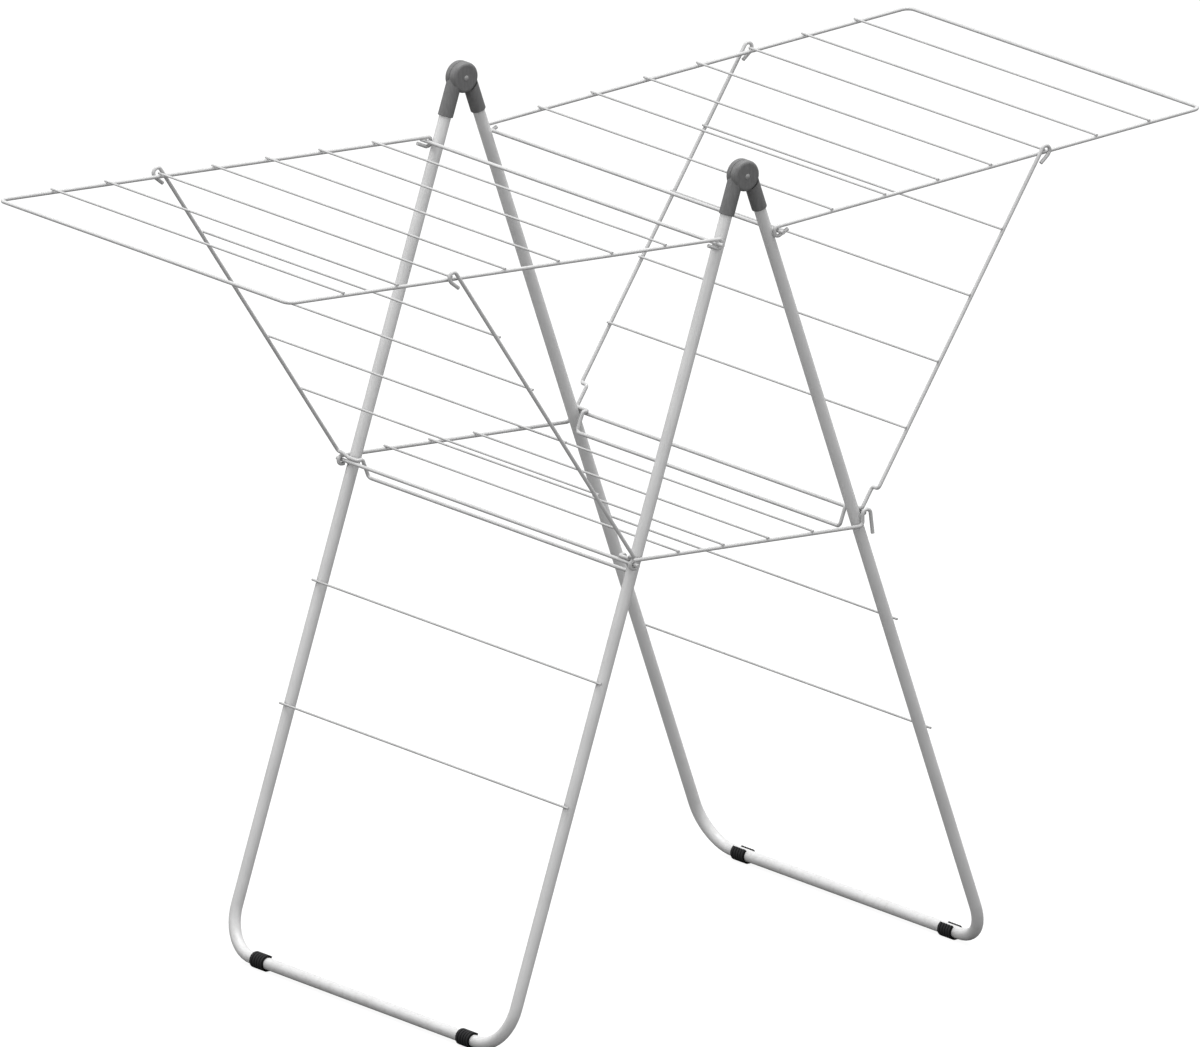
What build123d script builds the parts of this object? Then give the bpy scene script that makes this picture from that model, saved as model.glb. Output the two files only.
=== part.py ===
from build123d import *
import os
from math import asin, atan2, cos, degrees, hypot, radians, sin, sqrt

# A folding clothes drying rack: two tube leg frames hinged at the top, two wire wings,
# the wire struts that hold the wings up, and a wire shelf between the legs.
# X runs along the hinge line, Y across the rack, Z up. The origin is on the floor, midway
# between the feet. The front half is on the -Y side and the rear half is its mirror image.

# Stock
TUBE_DIAMETER = 16.0
TUBE_WALL = 0.9
WIRE_DIAMETER = 5.0  # rods, wing frames, strut frames and shelf sides
LINE_DIAMETER = 3.0  # the lines that the laundry hangs on
TUBE_RADIUS = TUBE_DIAMETER / 2
WIRE_RADIUS = WIRE_DIAMETER / 2
LINE_RADIUS = LINE_DIAMETER / 2
PLAY = 0.3  # gap left where loose wires bear on each other

# Leg frames
PIN_HEIGHT = 1118.5
LEG_ANGLE = 19.12  # each frame, from upright
LEG_OFFSET = 9.4  # from the hinge pin out to the middle of the tube
LEG_HALF_SPAN = 299.5
LEG_BEND = 58.0
TUBE_START = 24.0  # where the tube ends inside its sleeve, down from the pin
LEG_LINES_DOWN = {"upper": 682.7, "lower": 848.8}
LEG_LINE_HALF = 309.0

# Cross rods, on the outer faces of the legs
WING_ROD_DOWN = 93.0
WING_ROD_HALF = 322.0
SHELF_ROD_DOWN = 521.7
FRONT_SHELF_ROD_HALF = 322.0
REAR_SHELF_ROD_HALF = 308.7
ROD_OUT = TUBE_RADIUS + WIRE_RADIUS

# Hinges
EAR_RADIUS = 20.6
EAR_ROUND = 4.5
EAR_INSET = 0.4  # gap between the two ears, halved
EAR_PLAY = 0.6  # between an ear's rim and the other half
HINGE_HALF_WIDTH = 10.5
SLEEVE_RADIUS = 10.2
SLEEVE_END = 55.0
SLEEVE_TOP = 9.0  # above the pin, beside its own ear
SLEEVE_ROUND = 7.0
SLEEVE_LIP = 0.8  # rounding at the mouth of the sleeve
SLEEVE_SHOULDER = -6.0  # from the pin up: above it the sleeve is only as wide as its own ear
RIVET_RADIUS = 2.5
RIVET_PLAY = 0.05
RIVET_HEAD_RADIUS = 3.5
RIVET_HEAD_HEIGHT = 1.3

# Feet
FOOT_LENGTH = 26.0
FOOT_RADIUS = 11.0
FOOT_DROP = 10.5  # from the middle of the floor bar to the floor
FOOT_AT = 221.0
FOOT_GAP_ANGLE = 70.0
FOOT_GAP_AT = 50.0  # from +Y, up
FOOT_RIBS = 4
FOOT_GROOVE_DEPTH = 0.8
FOOT_GROOVE_WIDTH = 1.4

# Wings
LINE_PITCH = 86.77
WING_LINES = 7
WING_LENGTH = (WING_LINES + 1) * LINE_PITCH
WING_TILT = 3.07
WING_HALF_SPAN = 310.0
WING_BEND = 12.0
WING_LINE_HALF = 313.3
WING_RISE = 5.8  # from the rod to the wing frame's wire
HOOK_LINE = 5  # the line that carries the struts' eyes, counted from the rod
# The eye round the rod, as corners out from the rod and up, and the bend at each.
WING_EYE = [(15.5, -0.8), (0.5, -6.8), (-5.8, -5.6), (-5.8, WING_RISE)]
WING_EYE_BENDS = [4.0, 4.0, 4.0]

# Struts
STRUT_HALF_SPAN = 316.3
# Where the side wire turns in, out along it from the foot. The rear strut turns in higher, so
# that it swings down clear of the shelf's hooks.
FRONT_STRUT_TURN = 7.0
FRONT_STRUT_TURN_HALF = 308.0
FRONT_STRUT_FOOT_HALF = 300.0
REAR_STRUT_TURN = 32.0
REAR_STRUT_FOOT_HALF = 304.0
STRUT_BAR_HALF = 280.0
STRUT_BAR_IN = 19.5
STRUT_BAR_DROP = 20.7
STRUT_LINES = 4
STRUT_LINE_PITCH = 95.64
STRUT_FIRST_LINE = 118.3
STRUT_LINE_HALF = 318.0
STRUT_EYE_OFFSET = 6.4  # from the side wire to the middle of its eye
# The eye round the wing's line, as corners along the strut from the line and square to it.
STRUT_EYE = [(-17.7, -8.1), (-3.5, -12.6), (6.2, -12.6), (6.2, 0.0)]
STRUT_EYE_BENDS = [6.0, 6.0, 6.0]
STRUT_FOOT_BENDS = [4.0, 4.0, 4.0, 3.5, 3.5, 5.0]
STRUT_OVER = (9.5, 5.5)  # the corner where the wire passes over the shelf rod, in and up

# Shelf
SHELF_HALF_SPAN = 311.7
SHELF_RISE = 5.4  # from the front rod to the side wire
SHELF_TILT = 3.22
SHELF_LINES = 4
SHELF_LINE_PITCH = 73.0
SHELF_FIRST_LINE = 71.1
SHELF_LINE_HALF = 315.0
# The curl round the front rod, as corners back from the rod and up, and the bends.
SHELF_CURL = [(3.5, -5.6), (-5.6, -5.6), (-5.6, SHELF_RISE)]
SHELF_BENDS = [5.2, 5.2, 6.0, 5.9, 5.9]
SHELF_HOOK_HALF_GAP = 6.1
SHELF_HOOK_CROWN = 5.5  # the middle of the hook's wire above the rear rod
SHELF_HOOK_TAIL = 33.7
SHELF_HOOK_FLARE = 4.1


def on_leg(down, out):
    """Y and Z of a point on the front frame: down from the pin, and out from the tube's middle."""
    angle = radians(LEG_ANGLE)
    across = (LEG_OFFSET + out) * cos(angle) + down * sin(angle)
    height = PIN_HEIGHT + (LEG_OFFSET + out) * sin(angle) - down * cos(angle)
    return -across, height


def along(start, angle, distance, rise=0.0):
    """Y and Z reached from start at an angle above -Y, with a rise square to that direction."""
    turn = radians(angle)
    return (
        start[0] - distance * cos(turn) + rise * sin(turn),
        start[1] + distance * sin(turn) + rise * cos(turn),
    )


def swept(path, radius):
    """A round bar along a path."""
    section = Plane(origin=path @ 0, z_dir=path % 0) * Circle(radius)
    return sweep(section, path=path)


def bent(points, bends, radius):
    """A round bar through the points, with a bend at each inner one."""
    return swept(FilletPolyline(*points, radius=bends), radius)


def straight(half, across, height, radius):
    """A straight round bar along X."""
    section = Plane((-half, across, height), z_dir=(1, 0, 0)) * Circle(radius)
    return extrude(section, 2 * half)


LEG_RISE = PIN_HEIGHT + LEG_OFFSET * sin(radians(LEG_ANGLE)) - FOOT_DROP
LEG_LENGTH = LEG_RISE / cos(radians(LEG_ANGLE))  # down to the middle of the floor bar
WING_ROD = on_leg(WING_ROD_DOWN, ROD_OUT)
SHELF_ROD = on_leg(SHELF_ROD_DOWN, ROD_OUT)
FLOOR_BAR = on_leg(LEG_LENGTH, 0)
HOOK = along(WING_ROD, WING_TILT, HOOK_LINE * LINE_PITCH, WING_RISE + WIRE_RADIUS + LINE_RADIUS)


def leg_tube():
    """The front leg frame: one tube, with its two ends in the hinge sleeves."""
    top, foot = on_leg(TUBE_START, 0), FLOOR_BAR
    route = [
        (-LEG_HALF_SPAN, *top),
        (-LEG_HALF_SPAN, *foot),
        (LEG_HALF_SPAN, *foot),
        (LEG_HALF_SPAN, *top),
    ]
    path = FilletPolyline(*route, radius=LEG_BEND)
    return swept(path, TUBE_RADIUS) - swept(path, TUBE_RADIUS - TUBE_WALL)


def leg_line(down):
    """A line welded across the outer faces of the front legs."""
    return straight(LEG_LINE_HALF, *on_leg(down, TUBE_RADIUS + LINE_RADIUS), LINE_RADIUS)


def foot_clip():
    """A ribbed clip round the floor bar, flat underneath and open towards the inside and up."""
    outline = Circle(FOOT_RADIUS) - Circle(TUBE_RADIUS)
    half_gap = radians(FOOT_GAP_ANGLE / 2)
    reach = 2 * FOOT_RADIUS
    wedge = Polygon(
        (0, 0),
        (reach * cos(half_gap), -reach * sin(half_gap)),
        (reach * cos(half_gap), reach * sin(half_gap)),
        align=None,
    )
    outline -= Rot(0, 0, FOOT_GAP_AT) * wedge
    outline -= Pos(0, -FOOT_DROP - FOOT_RADIUS) * Rectangle(4 * FOOT_RADIUS, 2 * FOOT_RADIUS)
    clip = extrude(outline, FOOT_LENGTH / 2, both=True)
    pitch = FOOT_LENGTH / (FOOT_RIBS + 1)
    for step in range(FOOT_RIBS):
        place = (step - (FOOT_RIBS - 1) / 2) * pitch
        groove = Circle(FOOT_RADIUS + 1) - Circle(FOOT_RADIUS - FOOT_GROOVE_DEPTH)
        groove -= Pos(0, -FOOT_RADIUS) * Rectangle(4 * FOOT_RADIUS, FOOT_RADIUS)
        clip -= Pos(0, 0, place) * extrude(groove, FOOT_GROOVE_WIDTH / 2, both=True)
    return Plane((0, *FLOOR_BAR), x_dir=(0, 1, 0), z_dir=(1, 0, 0)) * clip


def hinge_half(side):
    """Half a hinge, drawn upright about the pin: side +1 has its ear on the +X side.

    The ear is a round disc with a rolled rim. The sleeve for the leg runs down beside the pin,
    rises beside its own ear, and is cut away round the ear of the other half.
    """
    ear_plane = Plane((side * EAR_INSET, 0, 0), x_dir=(0, 1, 0), z_dir=(1, 0, 0))
    depth = HINGE_HALF_WIDTH - EAR_INSET
    ear = extrude(ear_plane * Circle(EAR_RADIUS), side * depth)
    ear = fillet(ear.edges().sort_by(Axis.X)[-1 if side > 0 else 0], EAR_ROUND)
    sleeve = Pos(0, 0, -SLEEVE_END) * extrude(Circle(SLEEVE_RADIUS), SLEEVE_END + SLEEVE_TOP)
    sleeve = fillet(sleeve.edges().sort_by(Axis.Z)[-1], SLEEVE_ROUND)
    sleeve = fillet(sleeve.edges().sort_by(Axis.Z)[0], SLEEVE_LIP)
    half = ear + Pos(0, -LEG_OFFSET, 0) * sleeve
    clearance = Circle(EAR_RADIUS + EAR_PLAY)
    above = Rectangle(4 * EAR_RADIUS, 2 * EAR_RADIUS, align=(Align.CENTER, Align.MIN))
    clearance += Pos(0, SLEEVE_SHOULDER) * above
    half -= extrude(ear_plane * clearance, -side * 2 * HINGE_HALF_WIDTH)
    socket = SLEEVE_END - TUBE_START
    half -= Pos(0, -LEG_OFFSET, -SLEEVE_END) * extrude(Circle(TUBE_RADIUS), socket)
    hole = RIVET_RADIUS + (RIVET_PLAY if side < 0 else 0)
    half -= Rot(0, 90, 0) * extrude(Circle(hole), 2 * HINGE_HALF_WIDTH, both=True)
    return half


def rivet():
    """A plain rivet with a domed head at each end."""
    grip = HINGE_HALF_WIDTH + 0.1
    body = extrude(Circle(RIVET_RADIUS), grip, both=True)
    dome = RIVET_HEAD_RADIUS**2 / (2 * RIVET_HEAD_HEIGHT) + RIVET_HEAD_HEIGHT / 2
    ball = Pos(0, 0, grip + RIVET_HEAD_HEIGHT - dome) * Sphere(dome)
    head = ball & Pos(0, 0, grip) * Cylinder(
        RIVET_HEAD_RADIUS, dome, align=(Align.CENTER, Align.CENTER, Align.MIN)
    )
    return Rot(0, 90, 0) * (body + head + mirror(head, Plane.XY))


def wing_point(distance, rise):
    """Y and Z on the front wing, out from its rod and up from the rod's middle."""
    return along(WING_ROD, WING_TILT, distance, rise)


def wing_frame():
    """The front wing's wire: an eye round the rod at each end, two sides and the outer edge."""
    corners = [wing_point(*corner) for corner in [*WING_EYE, (WING_LENGTH, WING_RISE)]]
    left = [(-WING_HALF_SPAN, *corner) for corner in corners]
    right = [(-x, y, z) for x, y, z in reversed(left)]
    bends = [*WING_EYE_BENDS, WING_BEND]
    return bent(left + right, bends + bends[::-1], WIRE_RADIUS)


def wing_lines():
    """The lines laid on top of the front wing's side wires."""
    rise = WING_RISE + WIRE_RADIUS + LINE_RADIUS
    places = [wing_point((step + 1) * LINE_PITCH, rise) for step in range(WING_LINES)]
    return [straight(WING_LINE_HALF, *place, LINE_RADIUS) for place in places]


def strut_axis():
    """The front strut's side wire: its foot, its angle above -Y and the length to its eye."""
    foot = on_leg(SHELF_ROD_DOWN - WIRE_DIAMETER - PLAY, ROD_OUT + PLAY)
    reach = hypot(HOOK[0] - foot[0], HOOK[1] - foot[1])
    to_hook = degrees(atan2(HOOK[1] - foot[1], foot[0] - HOOK[0]))
    angle = to_hook + degrees(asin(STRUT_EYE_OFFSET / reach))
    return foot, angle, sqrt(reach**2 - STRUT_EYE_OFFSET**2)


def strut_frame(turn, turn_half, foot_half):
    """A strut's wire, on the front: eyes, feet that sit on the rod, and the lower bar.

    The side wire turns in at a distance along it, to turn_half. It drops from there to foot_half.
    """
    foot, angle, top = strut_axis()
    eye = [along(foot, angle, top + step, rise) for step, rise in STRUT_EYE]
    rod_y, rod_z = SHELF_ROD
    over = (rod_y + STRUT_OVER[0], rod_z + STRUT_OVER[1])
    bar = (rod_y + STRUT_BAR_IN, rod_z - STRUT_BAR_DROP)
    left = [(-STRUT_HALF_SPAN, *point) for point in eye]
    turn_in = along(foot, angle, turn)
    left += [
        (-STRUT_HALF_SPAN, *turn_in),
        (-turn_half, *turn_in),
        (-foot_half, *foot),
        (-STRUT_BAR_HALF, *foot),
        (-STRUT_BAR_HALF, *over),
        (-STRUT_BAR_HALF, *bar),
    ]
    right = [(-x, y, z) for x, y, z in reversed(left)]
    bends = STRUT_EYE_BENDS + STRUT_FOOT_BENDS
    return bent(left + right, bends + bends[::-1], WIRE_RADIUS)


def strut_lines():
    """The lines across the inner side of the front strut."""
    foot, angle, _ = strut_axis()
    rise = WIRE_RADIUS + LINE_RADIUS
    lines = []
    for step in range(STRUT_LINES):
        place = along(foot, angle, STRUT_FIRST_LINE + step * STRUT_LINE_PITCH, rise)
        lines.append(straight(STRUT_LINE_HALF, *place, LINE_RADIUS))
    return lines


def shelf_point(distance, rise):
    """Y and Z on the shelf, back from the front rod and up from the rod's middle."""
    turn = radians(SHELF_TILT)
    return (
        SHELF_ROD[0] + distance * cos(turn) + rise * sin(turn),
        SHELF_ROD[1] - distance * sin(turn) + rise * cos(turn),
    )


def shelf_wire(side):
    """One side of the shelf: a curl round the front rod and a hook over the rear rod."""
    rear_y, rear_z = -SHELF_ROD[0], SHELF_ROD[1]
    crown = rear_z + SHELF_HOOK_CROWN
    knee_y = rear_y - SHELF_HOOK_HALF_GAP
    tip_y = rear_y + SHELF_HOOK_HALF_GAP
    route = [shelf_point(*corner) for corner in SHELF_CURL]
    route += [
        (knee_y, shelf_point(knee_y - SHELF_ROD[0], SHELF_RISE)[1]),
        (knee_y, crown),
        (tip_y, crown),
        (tip_y + SHELF_HOOK_FLARE, crown - SHELF_HOOK_TAIL),
    ]
    points = [(side * SHELF_HALF_SPAN, *point) for point in route]
    return bent(points, SHELF_BENDS, WIRE_RADIUS)


def shelf_lines():
    """The lines laid on top of the shelf's side wires."""
    rise = SHELF_RISE + WIRE_RADIUS + LINE_RADIUS
    places = [shelf_point(SHELF_FIRST_LINE + n * SHELF_LINE_PITCH, rise) for n in range(SHELF_LINES)]
    return [straight(SHELF_LINE_HALF, *place, LINE_RADIUS) for place in places]


def rear(shape):
    """The same piece on the rear half."""
    return mirror(shape, Plane.XZ)


def both_halves(name, shape):
    """The front piece and its mirror image on the rear half, under their node names."""
    shapes = shape if isinstance(shape, list) else [shape]
    return {"front_" + name: shapes, "rear_" + name: [rear(one) for one in shapes]}


def hinge_nodes():
    """The two halves and the rivet of the hinge at each end."""
    nodes = {}
    front_half = Rot(-LEG_ANGLE, 0, 0) * hinge_half(1)
    rear_half = Rot(LEG_ANGLE, 0, 0) * mirror(hinge_half(-1), Plane.XZ)
    for end, place in (("left", -LEG_HALF_SPAN), ("right", LEG_HALF_SPAN)):
        at_pin = Pos(place, 0, PIN_HEIGHT)
        nodes[f"front_hinge_half_{end}"] = [at_pin * front_half]
        nodes[f"rear_hinge_half_{end}"] = [at_pin * rear_half]
        nodes[f"hinge_rivet_{end}"] = [at_pin * rivet()]
    return nodes


def all_nodes():
    """Every node's solids, by name."""
    nodes = both_halves("leg_tube", leg_tube())
    for name, down in LEG_LINES_DOWN.items():
        nodes |= both_halves(f"leg_line_{name}", leg_line(down))
    nodes |= both_halves("wing_rod", straight(WING_ROD_HALF, *WING_ROD, WIRE_RADIUS))
    nodes["front_shelf_rod"] = [straight(FRONT_SHELF_ROD_HALF, *SHELF_ROD, WIRE_RADIUS)]
    nodes["rear_shelf_rod"] = [rear(straight(REAR_SHELF_ROD_HALF, *SHELF_ROD, WIRE_RADIUS))]
    clip = foot_clip()
    for end, place in (("left", -FOOT_AT), ("right", FOOT_AT)):
        nodes |= both_halves(f"foot_{end}", Pos(place, 0, 0) * clip)
    nodes |= hinge_nodes()
    nodes |= both_halves("wing_frame", wing_frame())
    nodes |= both_halves("wing_lines", wing_lines())
    front_turn = (FRONT_STRUT_TURN, FRONT_STRUT_TURN_HALF, FRONT_STRUT_FOOT_HALF)
    rear_turn = (REAR_STRUT_TURN, REAR_STRUT_FOOT_HALF, REAR_STRUT_FOOT_HALF)
    nodes["front_strut_frame"] = [strut_frame(*front_turn)]
    nodes["rear_strut_frame"] = [rear(strut_frame(*rear_turn))]
    nodes |= both_halves("strut_lines", strut_lines())
    nodes["shelf_side_left"] = [shelf_wire(-1)]
    nodes["shelf_side_right"] = [shelf_wire(1)]
    nodes["shelf_lines"] = shelf_lines()
    return nodes


os.makedirs("parts", exist_ok=True)
NODES = all_nodes()
for name, shapes in NODES.items():
    solids = [solid for shape in shapes for solid in shape.solids()]
    shape = solids[0] if len(solids) == 1 else Compound(children=solids)
    export_step(shape, f"parts/{name}.step")
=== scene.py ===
import math
import random

import bmesh
import bpy
from mathutils import Matrix, Vector

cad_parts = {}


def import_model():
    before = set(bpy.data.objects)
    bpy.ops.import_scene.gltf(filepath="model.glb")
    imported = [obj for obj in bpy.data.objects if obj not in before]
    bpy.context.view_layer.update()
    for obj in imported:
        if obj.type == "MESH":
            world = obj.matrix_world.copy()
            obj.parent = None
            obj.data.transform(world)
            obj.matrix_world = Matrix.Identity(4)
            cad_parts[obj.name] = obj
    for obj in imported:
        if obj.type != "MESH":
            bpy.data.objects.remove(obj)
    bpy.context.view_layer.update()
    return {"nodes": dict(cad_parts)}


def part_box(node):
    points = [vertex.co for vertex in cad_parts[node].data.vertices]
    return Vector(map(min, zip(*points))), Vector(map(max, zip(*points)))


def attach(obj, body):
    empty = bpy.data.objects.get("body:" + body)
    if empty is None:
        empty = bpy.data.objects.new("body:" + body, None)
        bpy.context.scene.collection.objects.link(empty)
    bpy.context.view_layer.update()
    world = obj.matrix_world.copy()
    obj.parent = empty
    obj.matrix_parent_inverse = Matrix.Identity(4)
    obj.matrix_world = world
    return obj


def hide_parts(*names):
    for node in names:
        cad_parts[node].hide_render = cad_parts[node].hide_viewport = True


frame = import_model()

# A folding clothes drying rack in silver-grey powder coat, with moulded hinges and feet.
# The frame holds every tube, wire and moulding. This script gives them their finishes, fits the
# ribbed foot clips as they lie on the floor bars, adds the welds where the wires cross, and sets
# the light, the floor and the camera.

MM = 0.001
RANDOM_SEED = 7

TUBE_RADIUS = 8.0 * MM
WIRE_RADIUS = 2.5 * MM
LINE_RADIUS = 1.5 * MM
LEG_ANGLE = math.radians(19.12)


# ---------------------------------------------------------------------------------------------
# Materials
# ---------------------------------------------------------------------------------------------

class Value:
    """One output of a material's nodes. Arithmetic on it adds the Math nodes that work it out."""

    def __init__(self, tree, socket):
        self.tree = tree
        self.socket = socket

    def node(self, kind, settings=None, inputs=None, output=0):
        """Adds a node: its settings first, then the values or links of its sockets."""
        made = self.tree.nodes.new(kind)
        for name, setting in (settings or {}).items():
            if name == "stops":
                ramp = made.color_ramp.elements
                while len(ramp) < len(setting):
                    ramp.new(0.5)
                for stop, (position, colour) in zip(ramp, setting):
                    stop.position = position
                    stop.color = colour
            else:
                setattr(made, name, setting)
        for name, given in (inputs or {}).items():
            if isinstance(given, Value):
                self.tree.links.new(given.socket, made.inputs[name])
            else:
                made.inputs[name].default_value = given
        return Value(self.tree, made.outputs[output] if made.outputs else None)

    def maths(self, operation, *others):
        inputs = {place: given for place, given in enumerate([self, *others])}
        return self.node("ShaderNodeMath", {"operation": operation}, inputs)

    def __add__(self, other):
        return self.maths("ADD", other)

    def __mul__(self, other):
        return self.maths("MULTIPLY", other)

    def __sub__(self, other):
        return self.maths("SUBTRACT", other)

    def __rsub__(self, other):
        return (self * -1.0) + other

    __radd__ = __add__

    def step(self, low, high):
        """0 below low and 1 above high, with a smooth rise between."""
        ends = {"Value": self, "From Min": low, "From Max": high}
        return self.node("ShaderNodeMapRange", {"interpolation_type": "SMOOTHSTEP"}, ends)

    def noise(self, size, detail=2.0, roughness=0.5):
        """Noise from this position, with cells about size metres across."""
        inputs = {"Vector": self, "Scale": 1.0 / size, "Detail": detail, "Roughness": roughness}
        return self.node("ShaderNodeTexNoise", None, inputs)

    def part(self, axis):
        """One coordinate of this position."""
        return self.node("ShaderNodeSeparateXYZ", None, {"Vector": self}, "XYZ".index(axis))

    def colour(self, dark, light):
        """The colour between dark, at 0, and light, at 1."""
        inputs = {0: self, 6: (*dark, 1.0), 7: (*light, 1.0)}
        return self.node("ShaderNodeMix", {"data_type": "RGBA"}, inputs, 2)

    def over(self, under, top):
        """The colour top laid over under by this mask."""
        top = top if isinstance(top, Value) else (*top, 1.0)
        inputs = {0: self, 6: under, 7: top}
        return self.node("ShaderNodeMix", {"data_type": "RGBA"}, inputs, 2)

    def bump(self, height, strength):
        """The normal that this height gives, in metres from valley to crest."""
        inputs = {"Height": self, "Distance": height, "Strength": strength}
        return self.node("ShaderNodeBump", None, inputs)


def finish_of(name, plain):
    """A new material with one Principled shader, its plain sockets set, and a place to build on."""
    made = bpy.data.materials.new(name)
    made.use_nodes = True
    shader = next(node for node in made.node_tree.nodes if node.type == "BSDF_PRINCIPLED")
    for socket, value in plain.items():
        shader.inputs[socket].default_value = value
    start = Value(made.node_tree, None)
    place = start.node("ShaderNodeTexCoord", output=3)
    return made, shader, place


def lead(shader, **links):
    """Links worked-out values to the shader's sockets."""
    for name, value in links.items():
        value.tree.links.new(value.socket, shader.inputs[name.replace("_", " ")])


def powder_coat(name, dark, light, orange_peel):
    """Satin powder coat: faint orange peel, a fine fleck, and a little dust near the floor."""
    made, shader, place = finish_of(name, {"Specular IOR Level": 0.25, "Metallic": 0.05})
    fleck = place.noise(0.5 * MM, 1.0).step(0.35, 0.7)
    cloud = place.noise(70 * MM, 3.0).step(0.3, 0.7)
    tone = (fleck * 0.35) + (cloud * 0.65)
    low_down = 1.0 - place.part("Z").step(0.004, 0.07)
    dust = low_down * place.noise(9 * MM, 4.0, 0.65).step(0.48, 0.72)
    colour = (dust * 0.35).over(tone.colour(dark, light), (0.40, 0.39, 0.37))
    rough = (place.noise(25 * MM, 3.0) * 0.10) + (fleck * 0.05) + (dust * 0.2) + 0.30
    peel = place.noise(orange_peel, 2.0)
    lead(shader, Base_Color=colour, Roughness=rough, Normal=peel.bump(0.02 * MM, 0.35))
    return made


def moulded_hinge():
    """Dark grey glass-filled nylon with a fine spark-eroded grain and paler rubbed patches."""
    made, shader, place = finish_of("hinge_nylon", {"Specular IOR Level": 0.45})
    grain = place.noise(0.35 * MM, 3.0, 0.6)
    rubbed = place.noise(6 * MM, 4.0, 0.6).step(0.5, 0.75)
    flow = place.node("ShaderNodeMapping", None, {"Vector": place, "Scale": (1.0, 1.0, 0.12)})
    streaks = flow.noise(2.5 * MM, 2.0).step(0.3, 0.75)
    tone = (streaks * 0.5) + (grain * 0.2) + (rubbed * 0.3)
    colour = tone.colour((0.112, 0.112, 0.113), (0.157, 0.157, 0.158))
    rough = 0.52 - (rubbed * 0.10) + (grain * 0.08)
    lead(shader, Base_Color=colour, Roughness=rough, Normal=grain.bump(0.03 * MM, 0.4))
    return made


def black_foot():
    """Black rubbery plastic, paler on the crests of its ribs as rubbed wear and painted highlight,
    painted darker with shade in the valleys between them, and scuffed grey where it meets the
    floor.
    """
    made, shader, place = finish_of("foot_rubber", {"Specular IOR Level": 0.12})
    grain = place.noise(0.5 * MM, 3.0, 0.6)
    near_floor = 1.0 - place.part("Z").step(0.0005, 0.003)
    scuffed = near_floor * place.noise(1.6 * MM, 4.0, 0.7).step(0.45, 0.70)
    out = place.part("Y").maths("ABSOLUTE") - FLOOR_BAR_OUT
    rise = place.part("Z") - FLOOR_BAR_HEIGHT
    from_bar = ((out * out) + (rise * rise)).maths("SQRT")
    # Painted shade and highlight: the valleys between the ribs are coloured darker and the crests
    # paler, standing in for the light on the ribs as well as rubbing.
    rib_shade_and_wear = from_bar.step(10.1 * MM, 10.9 * MM)
    black = ((rib_shade_and_wear * 0.75) + (grain * 0.25)).colour((0.002, 0.002, 0.002), (0.020, 0.020, 0.021))
    colour = scuffed.over(black, (0.050, 0.049, 0.047))
    rough = 0.55 + (grain * 0.12) + (scuffed * 0.15)
    lead(shader, Base_Color=colour, Roughness=rough, Normal=grain.bump(0.04 * MM, 0.45))
    return made


def rivet_finish():
    """Grey moulded rivet, a shade paler than the hinge and slightly polished on its dome."""
    made, shader, place = finish_of("rivet_grey", {"Specular IOR Level": 0.55})
    grain = place.noise(0.4 * MM, 2.0)
    colour = grain.colour((0.22, 0.22, 0.22), (0.28, 0.28, 0.28))
    rough = 0.34 + (grain * 0.1)
    lead(shader, Base_Color=colour, Roughness=rough, Normal=grain.bump(0.015 * MM, 0.3))
    return made


CLIP_RADIUS = 11.0 * MM
FLOOR_BAR_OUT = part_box("rear_foot_left")[1].y - CLIP_RADIUS
FLOOR_BAR_HEIGHT = 10.5 * MM

TUBE_COAT = powder_coat("tube_coat", (0.56, 0.56, 0.56), (0.63, 0.63, 0.63), 1.1 * MM)
WIRE_COAT = powder_coat("wire_coat", (0.45, 0.45, 0.45), (0.52, 0.52, 0.52), 0.8 * MM)
LINE_COAT = powder_coat("line_coat", (0.41, 0.41, 0.41), (0.47, 0.47, 0.47), 0.8 * MM)
HINGE_NYLON = moulded_hinge()
FOOT_RUBBER = black_foot()
RIVET_GREY = rivet_finish()

FINISHES = {
    "leg_tube": TUBE_COAT,
    "leg_line": LINE_COAT,
    "_lines": LINE_COAT,
    "_rod": WIRE_COAT,
    "_frame": WIRE_COAT,
    "shelf_side": WIRE_COAT,
    "hinge_half": HINGE_NYLON,
    "hinge_rivet": RIVET_GREY,
    "_foot_": FOOT_RUBBER,
}


def finish_frame():
    """Every tube, wire and moulding gets the finish that its name calls for."""
    for name, piece in frame["nodes"].items():
        finish = next(made for word, made in FINISHES.items() if word in name)
        piece.data.materials.clear()
        piece.data.materials.append(finish)


# ---------------------------------------------------------------------------------------------
# Foot clips
# ---------------------------------------------------------------------------------------------

CLIP_RIBS = 5
CLIP_PITCH = 5.2 * MM
CLIP_INSIDE = 8.05 * MM
CLIP_STEP = 7.5  # degrees between the corners of the clip's outline
CLIP_TIP = 2.5  # degrees that each lip of the mouth tapers over
# One rib in mm: how far along its pitch, and how far out from the middle of the bar.
RIB = [(0.0, 9.7), (0.3, 9.7), (0.9, 11.0), (4.3, 11.0), (4.9, 9.7)]
# The mouth of each clip, in degrees from the outside of the rack up and over. The clip snaps
# onto the bar and can be turned on it, so the front and rear ones lie differently.
MOUTHS = {"front": (133.0, 208.0), "rear": (43.0, 118.0)}


def clip_rings(middle_x):
    """The rings along a clip, as (x, how far out), with a full rim at each end."""
    start = middle_x - CLIP_RIBS * CLIP_PITCH / 2
    rings = [(start + rib * CLIP_PITCH + x * MM, out * MM)
             for rib in range(CLIP_RIBS) for x, out in RIB]
    rings[:2] = [(x, CLIP_RADIUS) for x, _ in rings[:2]]
    return rings + [(start + CLIP_RIBS * CLIP_PITCH, CLIP_RADIUS)]


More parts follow.
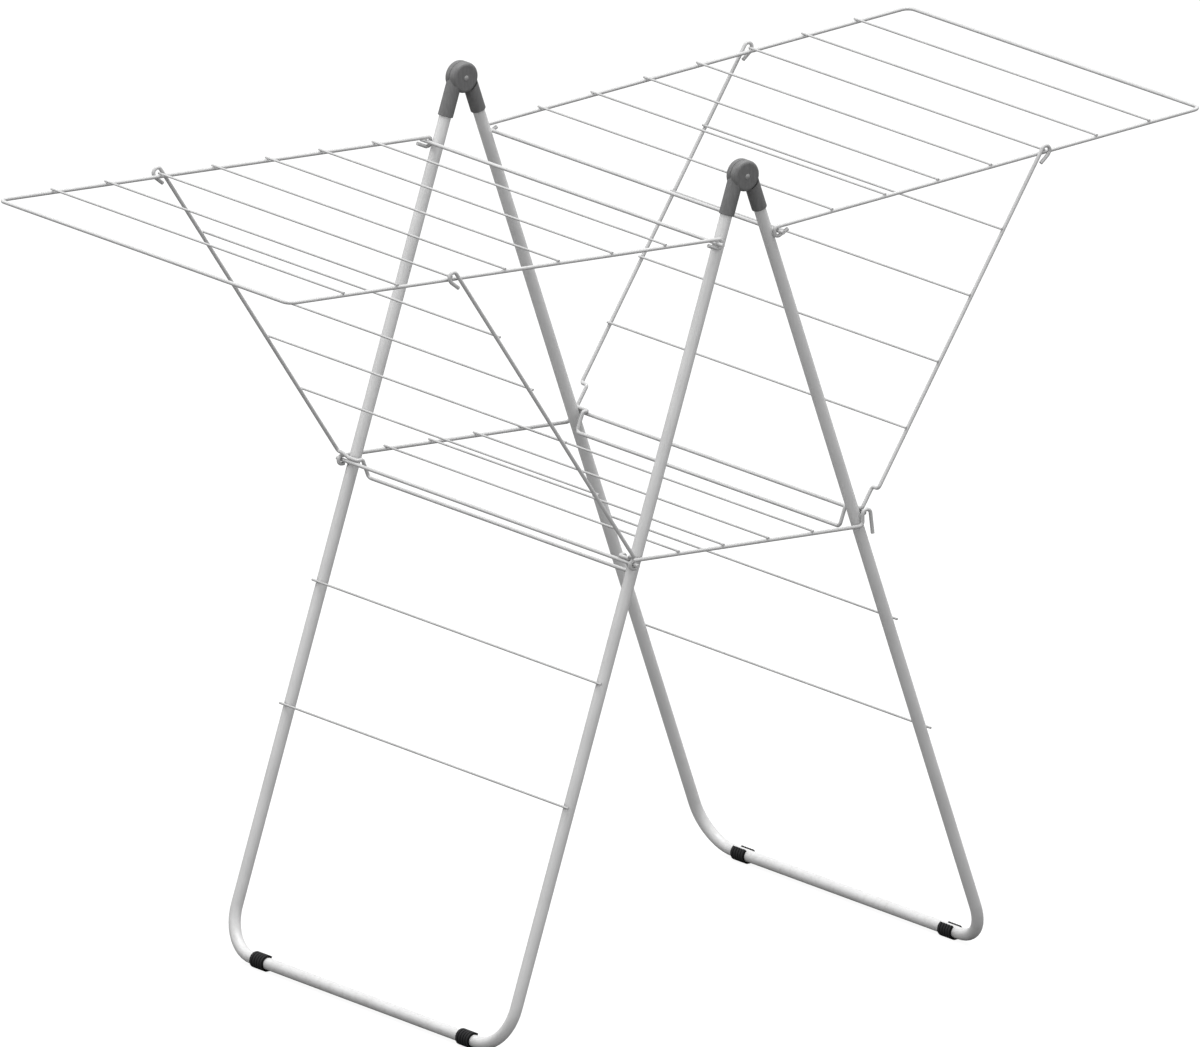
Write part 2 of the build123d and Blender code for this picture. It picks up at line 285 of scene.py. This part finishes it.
def clip_turns(mouth_low, mouth_high):
    """The corners round a clip, as (angle, whether it is a lip), from lip to lip."""
    turn = 360.0 - (mouth_high - mouth_low)
    between = [CLIP_STEP * step for step in range(1, int(turn / CLIP_STEP))]
    turns = [0.0, CLIP_TIP, *between, turn - CLIP_TIP, turn]
    return [(math.radians(mouth_high + step), step in (0.0, turn)) for step in turns]


def skin_between(mesh, one, two):
    """Faces between two rows of corners."""
    for step in range(len(one) - 1):
        mesh.faces.new((one[step], one[step + 1], two[step + 1], two[step]))


def clip_piece(half, end):
    """A ribbed clip round the floor bar, flat underneath and open along one side."""
    node = f"{half}_foot_{end}"
    name = f"{half}_clip_{end}"
    low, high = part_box(node)
    way = -1.0 if half == "front" else 1.0
    mesh = bmesh.new()

    def corner(x, angle, out):
        across = way * math.cos(angle) * out + way * FLOOR_BAR_OUT
        rise = math.sin(angle) * out + FLOOR_BAR_HEIGHT
        return mesh.verts.new((x, across, max(rise, 0.0)))

    turns = clip_turns(*MOUTHS[half])
    outer, inner = [], []
    for x, out in clip_rings((low.x + high.x) / 2):
        thin = (CLIP_INSIDE * 2 + out) / 3
        outer.append([corner(x, angle, thin if lip else out) for angle, lip in turns])
        inner.append([corner(x, angle, CLIP_INSIDE) for angle, _ in turns])
    for skin in (outer, inner):
        for one, two in zip(skin, skin[1:]):
            skin_between(mesh, one, two)
    for place in (0, -1):
        skin_between(mesh, outer[place], inner[place])
        skin_between(mesh, [row[place] for row in outer], [row[place] for row in inner])
    bmesh.ops.recalc_face_normals(mesh, faces=mesh.faces)
    data = bpy.data.meshes.new(name)
    mesh.to_mesh(data)
    mesh.free()
    data.materials.append(FOOT_RUBBER)
    piece = bpy.data.objects.new(name, data)
    bpy.context.scene.collection.objects.link(piece)
    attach(piece, f"{half}_frame")
    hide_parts(node)


def all_clips():
    """The four foot clips."""
    for half in ("front", "rear"):
        for end in ("left", "right"):
            clip_piece(half, end)


# ---------------------------------------------------------------------------------------------
# Welds
# ---------------------------------------------------------------------------------------------

WELD_WAIST = 0.22  # how much narrower a weld is at its foot than at its crest
WELD_RIPPLE = 0.06
WELD_SPREAD = 0.12  # how much one weld's length differs from the next's


def weld(mesh, place, along, normal, length, width, rise, spin):
    """One weld: a low mound of metal that wets both wires, waisted in the middle."""
    side = normal.cross(along).normalized()
    turn = Matrix((along, side, normal)).transposed().to_4x4()
    made = bmesh.ops.create_icosphere(mesh, subdivisions=2, radius=1.0)
    for vertex in made["verts"]:
        point = vertex.co.copy()
        waist = 1.0 - WELD_WAIST * (1.0 - abs(point.z))
        ripple = 1.0 + WELD_RIPPLE * math.sin(3.0 * math.atan2(point.y, point.x) + spin)
        local = Vector((
            point.x * length * waist * ripple,
            point.y * width * waist * ripple,
            point.z * rise,
        ))
        vertex.co = place + turn @ local


def weld_piece(name, body, places):
    """One object for all the welds of a body. Each place is (point, along, normal, sizes)."""
    dice = random.Random(RANDOM_SEED)
    mesh = bmesh.new()
    for point, along, normal, (length, width, rise) in places:
        spread = 1.0 + dice.uniform(-WELD_SPREAD, WELD_SPREAD)
        weld(mesh, point, along, normal, length * spread, width / spread, rise, dice.uniform(0, 6))
    data = bpy.data.meshes.new(name)
    mesh.to_mesh(data)
    mesh.free()
    data.polygons.foreach_set("use_smooth", [True] * len(data.polygons))
    data.materials.append(WIRE_COAT)
    piece = bpy.data.objects.new(name, data)
    bpy.context.scene.collection.objects.link(piece)
    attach(piece, body)


ALONG_X = Vector((1.0, 0.0, 0.0))
LINE_WELD = (2.3 * MM, 1.9 * MM, 1.2 * MM)
TUBE_WELD = (3.4 * MM, 2.1 * MM, 1.5 * MM)
ROD_WELD = (4.2 * MM, 3.0 * MM, 2.0 * MM)


def laid_welds(node, count, rises, side_x):
    """Welds between a node's row of lines and the two side wires that they are laid on.

    rises is 1 if the row climbs with Y and -1 if it falls. The side wires are at side_x, under
    the lines.
    """
    low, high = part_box(node)
    start = Vector((0, low.y + LINE_RADIUS, (low.z if rises > 0 else high.z) + LINE_RADIUS * rises))
    end = Vector((0, high.y - LINE_RADIUS, (high.z if rises > 0 else low.z) - LINE_RADIUS * rises))
    run = (end - start).normalized()
    normal = Vector((0, -run.z, run.y))
    places = []
    for step in range(count):
        middle = start.lerp(end, step / (count - 1)) - normal * LINE_RADIUS
        for sign in (-1, 1):
            point = Vector((sign * side_x, middle.y, middle.z))
            places.append((point, ALONG_X, normal, LINE_WELD))
    return places


def leg_welds(half):
    """Welds of the lines and rods on the outer faces of one leg frame's tubes."""
    way = -1.0 if half == "front" else 1.0
    outward = Vector((0, way * math.cos(LEG_ANGLE), math.sin(LEG_ANGLE)))
    tube_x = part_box(f"{half}_leg_tube")[1].x - TUBE_RADIUS
    bars = [("leg_line_upper", LINE_RADIUS, TUBE_WELD), ("leg_line_lower", LINE_RADIUS, TUBE_WELD)]
    bars += [("wing_rod", WIRE_RADIUS, ROD_WELD), ("shelf_rod", WIRE_RADIUS, ROD_WELD)]
    places = []
    for bar, radius, size in bars:
        low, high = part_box(f"{half}_{bar}")
        middle = (low + high) / 2 - outward * radius
        for sign in (-1, 1):
            point = Vector((sign * tube_x, middle.y, middle.z))
            places.append((point, ALONG_X, outward, size))
    return places


def all_welds():
    """Every weld: the lines on their side wires, and the lines and rods on the legs."""
    for half, rises in (("front", -1), ("rear", 1)):
        weld_piece(f"{half}_leg_welds", f"{half}_frame", leg_welds(half))
        for part, count in (("wing", 7), ("strut", 4)):
            side_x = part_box(f"{half}_{part}_frame")[1].x - WIRE_RADIUS
            places = laid_welds(f"{half}_{part}_lines", count, rises, side_x)
            weld_piece(f"{half}_{part}_welds", f"{half}_{part}", places)
    side_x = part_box("shelf_side_right")[1].x - WIRE_RADIUS
    weld_piece("shelf_welds", "shelf", laid_welds("shelf_lines", 4, -1, side_x))


# ---------------------------------------------------------------------------------------------
# Floor, light and camera
# ---------------------------------------------------------------------------------------------

FLOOR_HALF = 14.0
FLOOR_SINK = 0.2 * MM  # under the feet, so that the two never share a plane
FLOOR_TONE = 0.12
FLOOR_GLOW = 0.92
WORLD_LIGHT = 0.80
MIDDLE = Vector((0.0, 0.0, 0.55))

# Each soft box: its place, the side of its square in metres, and its power in watts.
SOFT_BOXES = {
    "top": ((0.0, 0.1, 7.0), 4.5, 400.0),
    "front": ((0.2, -3.5, 2.2), 2.2, 11.0),
    "left": ((-1.3, -1.0, 1.7), 0.9, 5.5),
    "rear": ((0.0, 3.2, 5.0), 2.4, 62.0),
    "side": ((3.2, -0.4, 1.5), 1.6, 12.0),
}

CAMERA_AZIMUTH = math.radians(52.69)
CAMERA_ELEVATION = math.radians(16.21)
CAMERA_ROLL = math.radians(-0.325)
CAMERA_LENS = 1480.0
CAMERA_SENSOR = 36.0
CAMERA_CLIP = (1.0, 200.0)
VIEW_MIDDLE = Vector((0.0, 0.0, 0.6025))
VIEW_LEFT = 4.86 * MM  # from there to the middle of the picture
VIEW_DOWN = 19.6 * MM
VIEW_WIDTH = 1.5564


def seen_directly(start):
    """1 for what the camera sees straight or through glass, and 0 for other light."""
    rays = [start.node("ShaderNodeLightPath", output=name) for name in
            ("Is Camera Ray", "Is Transmission Ray")]
    return rays[0].maths("MAXIMUM", rays[1])


def floor():
    """A wide pale floor that keeps a soft shadow."""
    mesh = bmesh.new()
    bmesh.ops.create_grid(mesh, x_segments=2, y_segments=2, size=FLOOR_HALF)
    data = bpy.data.meshes.new("floor")
    mesh.to_mesh(data)
    mesh.free()
    made = bpy.data.materials.new("floor_paper")
    made.use_nodes = True
    tree = made.node_tree
    tree.nodes.clear()
    start = Value(tree, None)
    grey = (FLOOR_TONE, FLOOR_TONE, FLOOR_TONE, 1.0)
    paper = start.node("ShaderNodeBsdfDiffuse", None, {"Color": grey})
    glow = start.node(
        "ShaderNodeEmission", None,
        {"Color": (1.0, 1.0, 1.0, 1.0), "Strength": seen_directly(start) * FLOOR_GLOW},
    )
    both = start.node("ShaderNodeAddShader", None, {0: paper, 1: glow})
    start.node("ShaderNodeOutputMaterial", None, {"Surface": both})
    data.materials.append(made)
    piece = bpy.data.objects.new("floor", data)
    piece.location.z = -FLOOR_SINK
    bpy.context.scene.collection.objects.link(piece)


def world():
    """Even light all round, and plain white where it is seen."""
    sky = bpy.data.worlds.new("studio")
    bpy.context.scene.world = sky
    sky.use_nodes = True
    tree = sky.node_tree
    tree.nodes.clear()
    start = Value(tree, None)
    strength = (seen_directly(start) * (1.0 - WORLD_LIGHT)) + WORLD_LIGHT
    glow = start.node(
        "ShaderNodeBackground", None, {"Color": (1.0, 1.0, 1.0, 1.0), "Strength": strength}
    )
    start.node("ShaderNodeOutputWorld", None, {"Surface": glow})


def soft_box(name, place, size, power):
    """A square lamp that faces the middle of the rack."""
    data = bpy.data.lights.new(name, "AREA")
    data.shape = "SQUARE"
    data.size = size
    data.energy = power
    lamp = bpy.data.objects.new(name, data)
    lamp.location = place
    lamp.rotation_mode = "QUATERNION"
    lamp.rotation_quaternion = (MIDDLE - Vector(place)).to_track_quat("-Z", "Y")
    bpy.context.scene.collection.objects.link(lamp)


def camera():
    """A long lens on the corner of the rack, a little above it and a shade off level."""
    level = Vector((math.cos(CAMERA_AZIMUTH), math.sin(CAMERA_AZIMUTH), 0.0))
    back = Vector((
        math.sin(CAMERA_AZIMUTH) * math.cos(CAMERA_ELEVATION),
        -math.cos(CAMERA_AZIMUTH) * math.cos(CAMERA_ELEVATION),
        math.sin(CAMERA_ELEVATION),
    ))
    rise = back.cross(level)
    right = level * math.cos(CAMERA_ROLL) + rise * math.sin(CAMERA_ROLL)
    up = rise * math.cos(CAMERA_ROLL) - level * math.sin(CAMERA_ROLL)
    aim = VIEW_MIDDLE - right * VIEW_LEFT - up * VIEW_DOWN
    data = bpy.data.cameras.new("camera")
    data.lens = CAMERA_LENS
    data.sensor_width = CAMERA_SENSOR
    data.clip_start, data.clip_end = CAMERA_CLIP
    piece = bpy.data.objects.new("camera", data)
    piece.location = aim + back * (VIEW_WIDTH * CAMERA_LENS / CAMERA_SENSOR)
    piece.rotation_mode = "QUATERNION"
    piece.rotation_quaternion = Matrix((right, up, back)).transposed().to_quaternion()
    bpy.context.scene.collection.objects.link(piece)
    bpy.context.scene.camera = piece


finish_frame()
all_clips()
all_welds()
floor()
world()
for name, settings in SOFT_BOXES.items():
    soft_box(name, *settings)
camera()
bpy.context.scene.view_settings.view_transform = "Standard"
